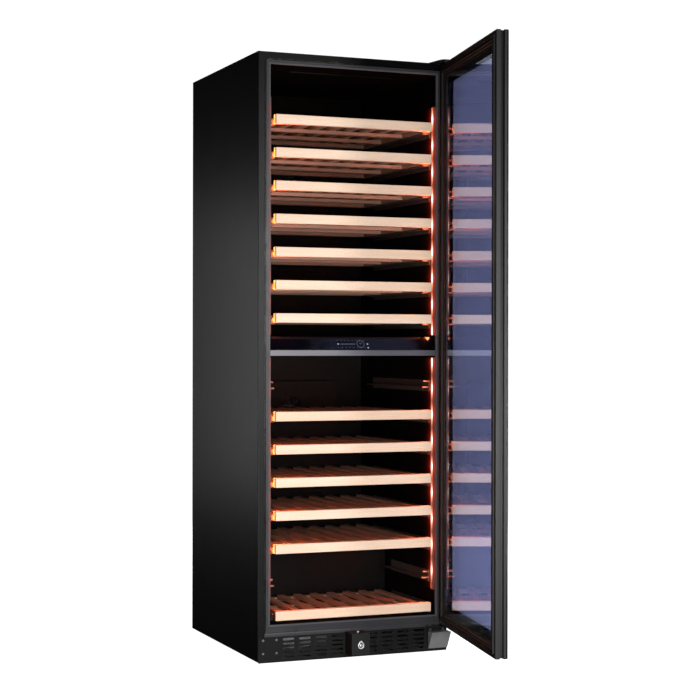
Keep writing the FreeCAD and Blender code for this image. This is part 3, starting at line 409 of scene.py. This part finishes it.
# The channels' glow is painted light from the strips, painted on as emission.
channel_plastic = surface("channel_plastic", (0.06, 0.03, 0.025), 0.5, glow=0.7)
foam = surface("insulation_foam_skin", (0.72, 0.62, 0.36), 0.85, mottle=0.2, patch=30.0, grain=240.0,
               depth=0.0006)
zinc = surface("galvanised_sheet", (0.42, 0.43, 0.44), 0.42, metallic=0.9, mottle=0.22, patch=45.0,
               spread=0.12, grain=300.0, depth=0.00003)
lock_coat = surface("lock_coat", (0.013, 0.013, 0.0134), 0.5, specular=0.12, grain=620.0, depth=0.00025)
panel_gloss = surface("panel_gloss", (0.0016, 0.0015, 0.0034), 0.14, specular=0.3, grain=200.0,
                      depth=0.000004, coat=0.25)
cover_grey = surface("cover_grey", (0.21, 0.21, 0.213), 0.5, specular=0.25, patch=20.0, grain=800.0,
                     depth=0.00012)
cover_black = surface("cover_black", (0.012, 0.012, 0.012), 0.4, specular=0.5, grain=800.0, depth=0.0001)
chrome = surface("chrome", (0.80, 0.80, 0.80), 0.30, metallic=0.35, mottle=0.05, patch=60.0, spread=0.04,
                 grain=400.0, depth=0.00001)
screw_steel = brushed("screw_steel", (0.13, 0.13, 0.132), 0.42, "x")
trim_metal = brushed("divider_metal", (0.13, 0.125, 0.135), 0.50, "x")
compressor_paint = surface("compressor_paint", (0.012, 0.012, 0.013), 0.28, mottle=0.2, patch=20.0,
                           grain=220.0, depth=0.0001)
rubber = surface("rubber", (0.014, 0.014, 0.014), 0.75, specular=0.3, grain=400.0, depth=0.0001)
gasket_rubber = surface("gasket_rubber", (0.014, 0.0138, 0.014), 0.58, specular=0.22, patch=12.0, grain=500.0)
copper = surface("copper", (0.72, 0.32, 0.18), 0.28, metallic=1.0, mottle=0.25, patch=40.0, spread=0.12)
fin_metal = brushed("fin_metal", (0.62, 0.63, 0.64), 0.35, "z")
fan_plastic = surface("fan_plastic", (0.016, 0.016, 0.016), 0.4)
motor_steel = surface("motor_steel", (0.25, 0.25, 0.26), 0.4, metallic=0.9, mottle=0.2, patch=50.0)
tray_plastic = surface("tray_plastic", (0.6, 0.6, 0.57), 0.45, patch=15.0)
nylon = surface("nylon", (0.7, 0.69, 0.64), 0.5, patch=30.0)
board_green = surface("circuit_board", (0.01, 0.10, 0.04), 0.3, mottle=0.3, patch=120.0, spread=0.1)
door_metal = brushed("door_profile", (0.014, 0.014, 0.0145), 0.36, "z", metallic=0.0, specular=0.28)
display_dim = surface("display_dim", (0.05, 0.05, 0.07), 0.4, shine=((0.75, 0.75, 1.0), 0.13))
display_bright = surface("display_bright", (0.2, 0.2, 0.22), 0.4, shine=((0.9, 0.92, 1.0), 0.7))
enamel = surface("printed_border", (0.004, 0.004, 0.005), 0.16, specular=0.6, grain=300.0, depth=0.000004)
foot_plastic = surface("foot_plastic", (0.02, 0.02, 0.02), 0.6, grain=300.0, depth=0.0001)
beech_front = beech("beech_front", "x")
# These two beech copies at 0.26 of the tone are painted shade, for the shelves' bars, runners and slats and
# the fascia's ends and back.
painted_shade_beech_x = beech("beech_across_painted_shade", "x", 0.26)
painted_shade_beech_y = beech("beech_lengthwise_painted_shade", "y", 0.26)
led_glow = led_lens_material()
pane_glass = glass("door_pane_glass", (0.64, 0.67, 0.85))
face_glass = glass("door_face_glass", (0.60, 0.62, 0.78))

KEPT = {
    "outer_shell": powder_black, "back_panel": zinc, "insulation_foam": foam, "inner_liner": liner_plastic,
    "shelf_guides": guide_plastic, "zone_divider": liner_plastic, "divider_trim": trim_metal,
    "control_panel": panel_gloss, "control_board": board_green, "led_channels": channel_plastic,
    "base_pan": zinc, "kick_plate": textured_black, "lock_housing": lock_coat, "lock_bolt": chrome,
    "bottom_hinge_bracket": textured_black, "bottom_hinge_cover": cover_grey,
    "top_hinge_bracket": textured_black, "top_hinge_cover": cover_black, "screws": screw_steel,
    "upper_fan_cover": liner_plastic, "lower_fan_cover": liner_plastic, "upper_evaporator": fin_metal,
    "lower_evaporator": fin_metal, "upper_fan_rotor": fan_plastic, "lower_fan_rotor": fan_plastic,
    "condenser_fan_rotor": fan_plastic, "fan_motors": motor_steel, "condenser": fin_metal,
    "condenser_fan_shroud": fan_plastic, "compressor": compressor_paint, "compressor_grommets": rubber,
    "drip_tray": tray_plastic, "refrigerant_pipes": copper, "power_inlet": cover_black,
    "glass_spacer": enamel, "hinge_bushes": nylon, "insulating_glass": pane_glass,
}
KEPT.update({name: foot_plastic for name in NODES if name.startswith("levelling_foot")})

for node_name, node_material in KEPT.items():
    for node_slot in NODES[node_name].material_slots:
        node_slot.material = node_material


# ---------------------------------------------------------------- cabinet front

# Grooves in the surround: their places as shares of the outer zone's width, their depth and slope
GROOVE_PLACES = (0.36, 0.70)
GROOVE_DEEP = 0.7 * MM
GROOVE_SLOPE = 0.4 * MM
GROOVE_WIDTH = 1.3 * MM
CHANNEL_DEEP = 1.6 * MM


def front_frame():
    """Surround: a dark outer zone with fine grooves, then a paler border with a bead round the opening."""
    bm = bmesh.new()
    low, high = FRAME_LOW, FRAME_HIGH
    back = high.y
    sides = high.x - OPENING_HALF
    bottom = OPENING_LOW - low.z
    top = high.z - OPENING_HIGH
    outer = sides - BORDER

    def row(depth, inset):
        """A line round the surround, that far behind its front; its inset is the one at the sides."""
        if inset <= outer:
            share = inset / outer
            insets = (share * (bottom - BORDER), inset, share * (top - BORDER), inset)
        else:
            rest = sides - inset
            insets = (bottom - rest, inset, top - rest, inset)
        return (FRONT + depth, *insets)

    section = [(back, 0.0), row(0.0, 0.0)]
    for place in GROOVE_PLACES:
        start = place * outer
        end = start + GROOVE_WIDTH
        section += [row(0.0, start), row(GROOVE_DEEP, start + GROOVE_SLOPE)]
        section += [row(GROOVE_DEEP, end - GROOVE_SLOPE), row(0.0, end)]
    # A deeper channel, the paler border, a fine line and the rounded bead
    section += [row(0.0, outer - 1.4 * MM), row(CHANNEL_DEEP, outer - 1.1 * MM), row(CHANNEL_DEEP, outer)]
    section += [row(0.3 * MM, outer + 0.3 * MM), row(0.3 * MM, sides - 5.6 * MM)]
    section += [row(1.0 * MM, sides - 5.2 * MM), row(1.0 * MM, sides - 4.6 * MM)]
    section += [row(0.1 * MM, sides - 4.0 * MM), row(0.1 * MM, sides - 1.6 * MM)]
    section += [row(1.4 * MM, sides), (back, bottom, sides, top, sides)]
    add_ring(bm, low, high, section)
    for face in bm.faces:
        centre = face.calc_center_median()
        beyond = max(abs(centre.x) - OPENING_HALF, centre.z - OPENING_HIGH)
        # The bead round the opening takes the paler material, a painted highlight; the border takes the
        # border plastic.
        if beyond < BEAD and centre.z > OPENING_LOW - BEAD:
            face.material_index = 2
        elif beyond < BORDER:
            face.material_index = 1
    materials = [frame_plastic, border_plastic, bead_plastic_painted_highlight]
    obj = piece("surround", bm, materials, "root", bevel=0.25 * MM)
    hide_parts("front_frame")


def led_lenses():
    """Slightly domed diffusers in the channels on both walls."""
    bm = bmesh.new()
    low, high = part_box("led_lenses")
    half = (high.y - low.y) / 2
    outer = OPENING_HALF - 1.5 * MM
    steps = 8
    for span_low, span_high in LED_SPANS:
        for side in (-1, 1):
            outline = [(side * outer, STRIP_Y - half, span_low)]
            for i in range(steps + 1):
                along = -1 + 2 * i / steps
                rise = LENS_PROUD * (0.35 + 0.65 * math.sqrt(1 - along * along * 0.92))
                outline.append((side * (OPENING_HALF - rise), STRIP_Y + along * half, span_low))
            outline.append((side * outer, STRIP_Y + half, span_low))
            add_prism(bm, outline, (0, 0, span_high - span_low))
    obj = piece("led_diffusers", bm, [led_glow], "root")
    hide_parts("led_lenses")


# The control panel's slope from front to back, and the dial on it: middle, height up the slope and radius
PANEL_SLOPE_DEPTH = 22.5 * MM
DIAL_X = 24 * MM
DIAL_UP = 20.5 * MM
DIAL_RADIUS = 12 * MM


class PanelFace:
    """The sloping front of the control panel: places on it, by x and by distance up the slope."""

    def __init__(self):
        low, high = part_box("control_panel")
        self.foot = Vector((0, low.y, low.z))
        rise = Vector((0, PANEL_SLOPE_DEPTH, high.z - low.z))
        self.up = rise.normalized()
        self.out = Vector((0, -self.up.z, self.up.y))

    def point(self, x, along, proud):
        return self.foot + Vector((x, 0, 0)) + self.up * along + self.out * proud

    def outline(self, bm, points, material):
        """A thin raised tile from (x, along) points in order."""
        near = [self.point(x, along, -0.2 * MM) for x, along in points]
        add_prism(bm, near, self.out * 0.35 * MM, material)

    def bar(self, bm, x, along, width, height, material, lean=0.0):
        cos, sin = math.cos(lean), math.sin(lean)
        corners = []
        for a, b in ((-1, -1), (1, -1), (1, 1), (-1, 1)):
            u, v = a * width / 2, b * height / 2
            corners.append((x + u * cos - v * sin, along + u * sin + v * cos))
        self.outline(bm, corners, material)


def display_marks():
    """Generic touch marks: a dial with two hands, a row of dashes and small key symbols."""
    face = PanelFace()
    bm = bmesh.new()
    line = 0.9 * MM
    steps = 40
    for i in range(steps):
        a, b = (2 * math.pi * (i + k) / steps for k in (0, 1))
        inside = DIAL_RADIUS - line
        corners = ((DIAL_RADIUS, a), (DIAL_RADIUS, b), (inside, b), (inside, a))
        face.outline(bm, [(DIAL_X + r * math.cos(t), DIAL_UP + r * math.sin(t)) for r, t in corners], 0)
    for lean, reach in ((math.radians(50), 7 * MM), (math.radians(128), 4.5 * MM)):
        x, up = DIAL_X + math.cos(lean) * reach / 2, DIAL_UP + math.sin(lean) * reach / 2
        face.bar(bm, x, up, reach, line, 0, lean)
    for i in range(11):
        face.bar(bm, DIAL_X + (-62 + 4.2 * i) * MM, DIAL_UP, 2.8 * MM, 2.0 * MM, 0)
    for i in range(8):
        for up in (8 * MM, 33 * MM):
            face.bar(bm, DIAL_X + (-72 + 12 * i) * MM, up, 3.4 * MM, 0.7 * MM, 0)
    for x, up in ((-71 * MM, DIAL_UP), (22 * MM, DIAL_UP), (22 * MM, 8 * MM)):
        face.bar(bm, DIAL_X + x, up, 3.0 * MM, 3.0 * MM, 1, math.radians(45))
    piece("display_marks", bm, [display_dim, display_bright], "root")


# ---------------------------------------------------------------- shelves

# Millimetres: board sizes, and heights above the shelf's underside
SHELF = dict(fascia_thick=20.0, fascia_high=27.0, end_gap=2.0, runner=12.0, runner_low=1.0,
             runner_high=14.0, slat=22.0, slat_low=12.0, slat_high=22.0, slat_margin=8.0, bar=22.0)
SLATS = 9
# A shelf deeper than this has two cross bars, a shallower one has one
FULL_SHELF_DEPTH = 400 * MM


def shelf(name):
    """A beech shelf with rounded boards; slats and runners have the grain front to back."""
    s = {key: value * MM for key, value in SHELF.items()}
    low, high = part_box(name)
    across, lengthwise = bmesh.new(), bmesh.new()
    back_of_fascia = low.y + s["fascia_thick"]
    outer = high.x - s["end_gap"]
    inner = outer - s["runner"]
    add_box(across, (low.x, low.y, low.z), (high.x, back_of_fascia, low.z + s["fascia_high"]))
    # The fascia's ends and back take the second material, a painted-shade copy of the beech.
    for face in across.faces:
        centre = face.calc_center_median()
        if abs(centre.x) > high.x - MM or centre.y > back_of_fascia - MM:
            face.material_index = 1
    # The back bar and the cross bars are also in the painted-shade beech.
    frame_z = (low.z + s["runner_low"], low.z + s["runner_high"])
    add_box(across, (-inner, high.y - s["bar"], frame_z[0]), (inner, high.y, frame_z[1]), 1)
    for side in (-1, 1):
        x = sorted((side * inner, side * outer))
        add_box(lengthwise, (x[0], back_of_fascia, frame_z[0]), (x[1], high.y, frame_z[1]))
    depth = high.y - back_of_fascia
    bars = 3 if depth > FULL_SHELF_DEPTH else 2
    for i in range(1, bars):
        y = back_of_fascia + depth * i / bars
        add_box(across, (-inner, y, frame_z[0]), (inner, y + s["bar"], low.z + s["slat_low"]), 1)
    pitch = (2 * inner - s["slat"] - s["slat_margin"]) / (SLATS - 1)
    for i in range(SLATS):
        centre = (i - (SLATS - 1) / 2) * pitch
        add_box(lengthwise, (centre - s["slat"] / 2, back_of_fascia, low.z + s["slat_low"]),
                (centre + s["slat"] / 2, high.y - s["bar"], low.z + s["slat_high"]))
    # The runners and slats are in the lengthwise painted-shade beech.
    boards = piece(name + "_boards", across, [beech_front, painted_shade_beech_x], name, bevel=1.4 * MM,
                   segments=3)
    piece(name + "_slats", lengthwise, [painted_shade_beech_y], name, bevel=1.0 * MM)
    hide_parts(name)


# ---------------------------------------------------------------- door

# The door's lower limit is closed, so its stored angle is that limit turned round
HINGE = JOINTS["door_hinge"]
PIN = Vector((HINGE["pos_m"][0], HINGE["pos_m"][1], 0.0))
DOOR_ANGLE = math.radians(-HINGE["range_deg"][0])
DOOR_TURN = Matrix.Translation(PIN) @ Matrix.Rotation(DOOR_ANGLE, 4, "Z") @ Matrix.Translation(-PIN)


def closed_box(name):
    """A door node's box with the door turned back to closed."""
    back = DOOR_TURN.inverted()
    points = [back @ v.co for v in NODES[name].data.vertices]
    low = Vector([min(p[i] for p in points) for i in range(3)])
    high = Vector([max(p[i] for p in points) for i in range(3)])
    return low, high


# Widths of the door's stile and of the print on the glass beyond it, and the depth of the finger groove
STILE = 40.0 * MM
PRINTED = 15.0 * MM
GRIP_DEEP = 14.0 * MM


def door_frame():
    """Aluminium profile with a finger groove along the latch edge and a stepped inner face."""
    low, high = closed_box("door_frame")
    bm = bmesh.new()
    outside, inside = low.y, high.y
    grip_from, grip_to = PIN.y - 11.6 * MM, PIN.y - 1.0 * MM
    rows = [(outside, 0.0), (grip_from, 0.0), (grip_from, 0, 0, 0, GRIP_DEEP), (grip_to, 0, 0, 0, GRIP_DEEP)]
    rows += [(grip_to, 0.0), (inside - 1.6 * MM, 0.0), (inside, 1.6 * MM)]
    rows += [(inside, 12 * MM), (inside - 4 * MM, 12 * MM), (inside - 4 * MM, 28 * MM)]
    rows += [(inside - 0.8 * MM, 28 * MM), (inside - 0.8 * MM, 31 * MM), (inside - 3.6 * MM, 33 * MM)]
    rows += [(inside - 3.6 * MM, STILE), (outside, STILE)]
    add_ring(bm, low, high, rows)
    obj = piece("door_profile", bm, [door_metal], "door", turn=DOOR_TURN, bevel=0.7 * MM,
                segments=3)
    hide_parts("door_frame")


def door_gasket():
    """Magnetic seal: a wide magnet chamber, a bellows fold and a thin outer lip."""
    low, high = closed_box("door_frame")
    root = high.y - 4 * MM
    bm = bmesh.new()
    # Millimetres inwards from the door's edge and up from the profile: lip, fold and magnet chamber
    outline = [(12.4, 0), (12.4, 4.6), (13.0, 7.4), (14.2, 8.0), (15.4, 7.4)]
    outline += [(16.2, 5.2), (17.4, 4.8), (18.6, 5.4)]
    outline += [(19.6, 7.2), (21.0, 8.05), (24.4, 8.05), (26.2, 7.0), (27.0, 5.0), (27.4, 0)]
    add_ring(bm, low, high, [(root + up * MM, inset * MM) for inset, up in outline])
    obj = piece("door_seal", bm, [gasket_rubber], "door", turn=DOOR_TURN, bevel=0.25 * MM)
    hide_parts("door_gasket")


def face_sheet():
    """The face glass: clear faces, and ground edges blacked by the enamel."""
    low, high = closed_box("outer_glass")
    bm = bmesh.new()
    add_box(bm, low, high)
    for face in bm.faces:
        face.normal_update()
        face.material_index = 0 if abs(face.normal.y) > 0.5 else 1
    obj = piece("face_sheet", bm, [face_glass, enamel], "door", turn=DOOR_TURN,
                bevel=0.6 * MM)
    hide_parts("outer_glass")


def printed_borders():
    """The black enamel printed round the edge of the inner pane and the face glass."""
    bm = bmesh.new()
    low, high = closed_box("insulating_glass")
    skin = 0.15 * MM
    y = high.y
    add_ring(bm, low, high, [(y, 0.0), (y + skin, 0.0), (y + skin, PRINTED), (y, PRINTED)])
    low, high = closed_box("outer_glass")
    y = high.y
    width = STILE + PRINTED
    add_ring(bm, low, high, [(y, 3 * MM), (y + skin, 3 * MM), (y + skin, width), (y, width)])
    piece("glass_print", bm, [enamel], "door", turn=DOOR_TURN)


# ---------------------------------------------------------------- lock

# The escutcheon round the key: radius, height of its point, wall and how far it stands out
ESCUTCHEON_RADIUS = 9.8 * MM
ESCUTCHEON_TIP = 14.2 * MM
ESCUTCHEON_WALL = 3.2 * MM
ESCUTCHEON_OUT = 2.3 * MM
PLUG_RADIUS = 6.5 * MM


def lock():
    """A teardrop escutcheon on the block, and the key plug with its slot."""
    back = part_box("lock_cylinder")[1].y
    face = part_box("lock_housing")[0].y
    key = JOINTS["key_turn"]["pos_m"]
    centre = (key[0], key[2])
    bm = bmesh.new()
    sides = 40

    def teardrop(radius, point, out):
        """A circle drawn up to a rounded point, that far out of the block's face."""
        loop = []
        for i in range(sides):
            angle = 2 * math.pi * i / sides
            pull = max(0.0, math.sin(angle)) ** 5
            x = centre[0] + radius * math.cos(angle) * (1 - 0.25 * pull)
            z = centre[1] + radius * math.sin(angle) + pull * (point - radius)
            loop.append(bm.verts.new((x, face - out, z)))
        return loop

    radius, tip = ESCUTCHEON_RADIUS, ESCUTCHEON_TIP
    hole_radius, hole_tip = radius - ESCUTCHEON_WALL, tip - ESCUTCHEON_WALL
    loops = [teardrop(radius, tip, 0.0), teardrop(radius, tip, 1.2 * MM),
             teardrop(radius - 0.9 * MM, tip - 1.2 * MM, ESCUTCHEON_OUT),
             teardrop(hole_radius + 0.5 * MM, hole_tip - 1.3 * MM, ESCUTCHEON_OUT),
             teardrop(hole_radius, hole_tip - 2.2 * MM, 1.2 * MM),
             teardrop(hole_radius, hole_tip - 2.2 * MM, 0.0)]
    for a, b in zip(loops, loops[1:] + loops[:1]):
        for i in range(sides):
            j = (i + 1) % sides
            bm.faces.new((a[i], a[j], b[j], b[i]))
    for polygon in bm.faces:
        polygon.smooth = True
    piece("lock_escutcheon", bm, [chrome], "root")

    bm = bmesh.new()
    plug_face = face - 0.9 * MM
    profile = [(PLUG_RADIUS, back), (PLUG_RADIUS, face - 0.4 * MM), (PLUG_RADIUS - 0.6 * MM, plug_face)]
    profile += [(4.6 * MM, plug_face), (0.4 * MM, plug_face)]
    add_lathe(bm, profile, centre, material=1)
    core_face = face - ESCUTCHEON_OUT
    core = [(4.2 * MM, face - 0.5 * MM), (4.2 * MM, face - 1.9 * MM), (3.6 * MM, core_face)]
    add_lathe(bm, core + [(0.4 * MM, core_face)], centre)
    add_box(bm, (centre[0] - 0.9 * MM, face - 2.4 * MM, centre[1] - 3.2 * MM),
            (centre[0] + 0.9 * MM, face - 2.2 * MM, centre[1] + 3.2 * MM), 1)
    obj = piece("key_plug", bm, [chrome, enamel], "lock_key", bevel=0.2 * MM)
    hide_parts("lock_cylinder")


front_frame()
led_lenses()
display_marks()
for shelf_name in sorted(name for name in NODES if name.startswith("shelf_") and name != "shelf_guides"):
    shelf(shelf_name)
door_frame()
door_gasket()
face_sheet()
printed_borders()
lock()


# ---------------------------------------------------------------- stage, lights and camera

def pale_floor():
    mesh = bpy.data.meshes.new("floor")
    reach = 30.0
    corners = [(-reach, -reach, 0), (reach, -reach, 0), (reach, reach, 0), (-reach, reach, 0)]
    mesh.from_pydata(corners, [], [(0, 1, 2, 3)])
    tree = Tree("pale_floor")
    tree.shader.inputs["Base Color"].default_value = (0.9, 0.9, 0.9, 1)
    tree.shader.inputs["Roughness"].default_value = 0.8
    tree.shader.inputs["Specular IOR Level"].default_value = 0.1
    tree.shader.inputs["Emission Color"].default_value = (1, 1, 1, 1)
    tree.shader.inputs["Emission Strength"].default_value = 1.03
    mesh.materials.append(tree.material)
    floor = bpy.data.objects.new("floor", mesh)
    bpy.context.collection.objects.link(floor)
    floor.visible_glossy = False
    floor.visible_diffuse = False


def area_light(name, place, target, size, power, colour=(1, 1, 1)):
    """A lamp that can't itself be seen, from the front or through the door's glass."""
    data = bpy.data.lights.new(name, "AREA")
    data.shape = "RECTANGLE"
    data.size, data.size_y = size
    data.energy = power
    data.color = colour
    obj = bpy.data.objects.new(name, data)
    bpy.context.collection.objects.link(obj)
    obj.location = place
    obj.rotation_euler = (Vector(target) - Vector(place)).to_track_quat("-Z", "Y").to_euler()
    obj.visible_camera = False
    obj.visible_transmission = False


# Strength of the white surroundings as the camera sees them, and as a light on the object
BACKDROP, AMBIENT = 1.04, 0.012


def studio():
    """A white backdrop that lights almost nothing, and the soft lamps."""
    world = bpy.data.worlds.new("studio")
    bpy.context.scene.world = world
    world.use_nodes = True
    nodes, links = world.node_tree.nodes, world.node_tree.links
    background = nodes["Background"]
    path = nodes.new("ShaderNodeLightPath")
    seen = nodes.new("ShaderNodeMath")
    seen.operation = "MAXIMUM"
    links.new(path.outputs["Is Camera Ray"], seen.inputs[0])
    links.new(path.outputs["Is Transmission Ray"], seen.inputs[1])
    mix = nodes.new("ShaderNodeMix")
    links.new(seen.outputs[0], mix.inputs[0])
    mix.inputs[2].default_value = AMBIENT
    mix.inputs[3].default_value = BACKDROP
    links.new(mix.outputs[0], background.inputs["Strength"])
    background.inputs["Color"].default_value = (1, 1, 1, 1)
    area_light("front_softbox", (-0.45, -3.0, 0.5), (0.0, -0.3, 0.6), (0.9, 0.9), 76.0)
    area_light("front_highlight", (1.25, -4.6, 1.3), (-0.2, -0.3, 1.0), (0.6, 0.9), 56.0)
    area_light("side_softbox", (-1.9, 2.7, 0.9), (-0.3, 0.0, 0.9), (0.9, 1.4), 7.4)
    area_light("right_fill", (2.9, 1.3, 1.0), (0.3, 0.0, 0.9), (0.9, 1.4), 40.0)
    area_light("rear_fill", (0.7, 3.4, 1.4), (0.0, 0.3, 0.9), (0.9, 1.2), 30.0)


def led_lights():
    """The light that the strips throw into the cabinet, turned a little towards its back."""
    for number, (span_low, span_high) in enumerate(LED_SPANS):
        z = (span_low + span_high) / 2
        size = (14 * MM, span_high - span_low)
        for side in (-1, 1):
            place = (side * (OPENING_HALF - 6 * MM), STRIP_Y, z)
            target = (0, STRIP_Y + 120 * MM, z)
            area_light(f"led_light_{number}_{side}", place, target, size, 3.4, colour=(1.0, 0.17, 0.05))


# The camera: its place, its turns from looking along +Y, its lens in millimetres and its sideways shift
CAMERA_PLACE = Vector((-1.8864, -4.8902, 0.9157))
CAMERA_YAW, CAMERA_PITCH, CAMERA_ROLL = (math.radians(a) for a in (22.404, -0.145, 0.095))
CAMERA_LENS = 86.73
CAMERA_SHIFT = -0.00577


def camera():
    data = bpy.data.cameras.new("camera")
    data.lens = CAMERA_LENS
    data.sensor_width = 36.0
    data.shift_x = CAMERA_SHIFT
    obj = bpy.data.objects.new("camera", data)
    bpy.context.collection.objects.link(obj)
    level = math.cos(CAMERA_PITCH)
    ahead = Vector((math.sin(CAMERA_YAW) * level, math.cos(CAMERA_YAW) * level, math.sin(CAMERA_PITCH)))
    right = Vector((math.cos(CAMERA_YAW), -math.sin(CAMERA_YAW), 0))
    up = right.cross(ahead)
    rolled_right = right * math.cos(CAMERA_ROLL) + up * math.sin(CAMERA_ROLL)
    rolled_up = up * math.cos(CAMERA_ROLL) - right * math.sin(CAMERA_ROLL)
    rotation = Matrix((rolled_right, rolled_up, -ahead)).transposed().to_4x4()
    obj.matrix_world = Matrix.Translation(CAMERA_PLACE) @ rotation
    bpy.context.scene.camera = obj


pale_floor()
studio()
led_lights()
camera()
bpy.context.scene.view_settings.view_transform = "Standard"
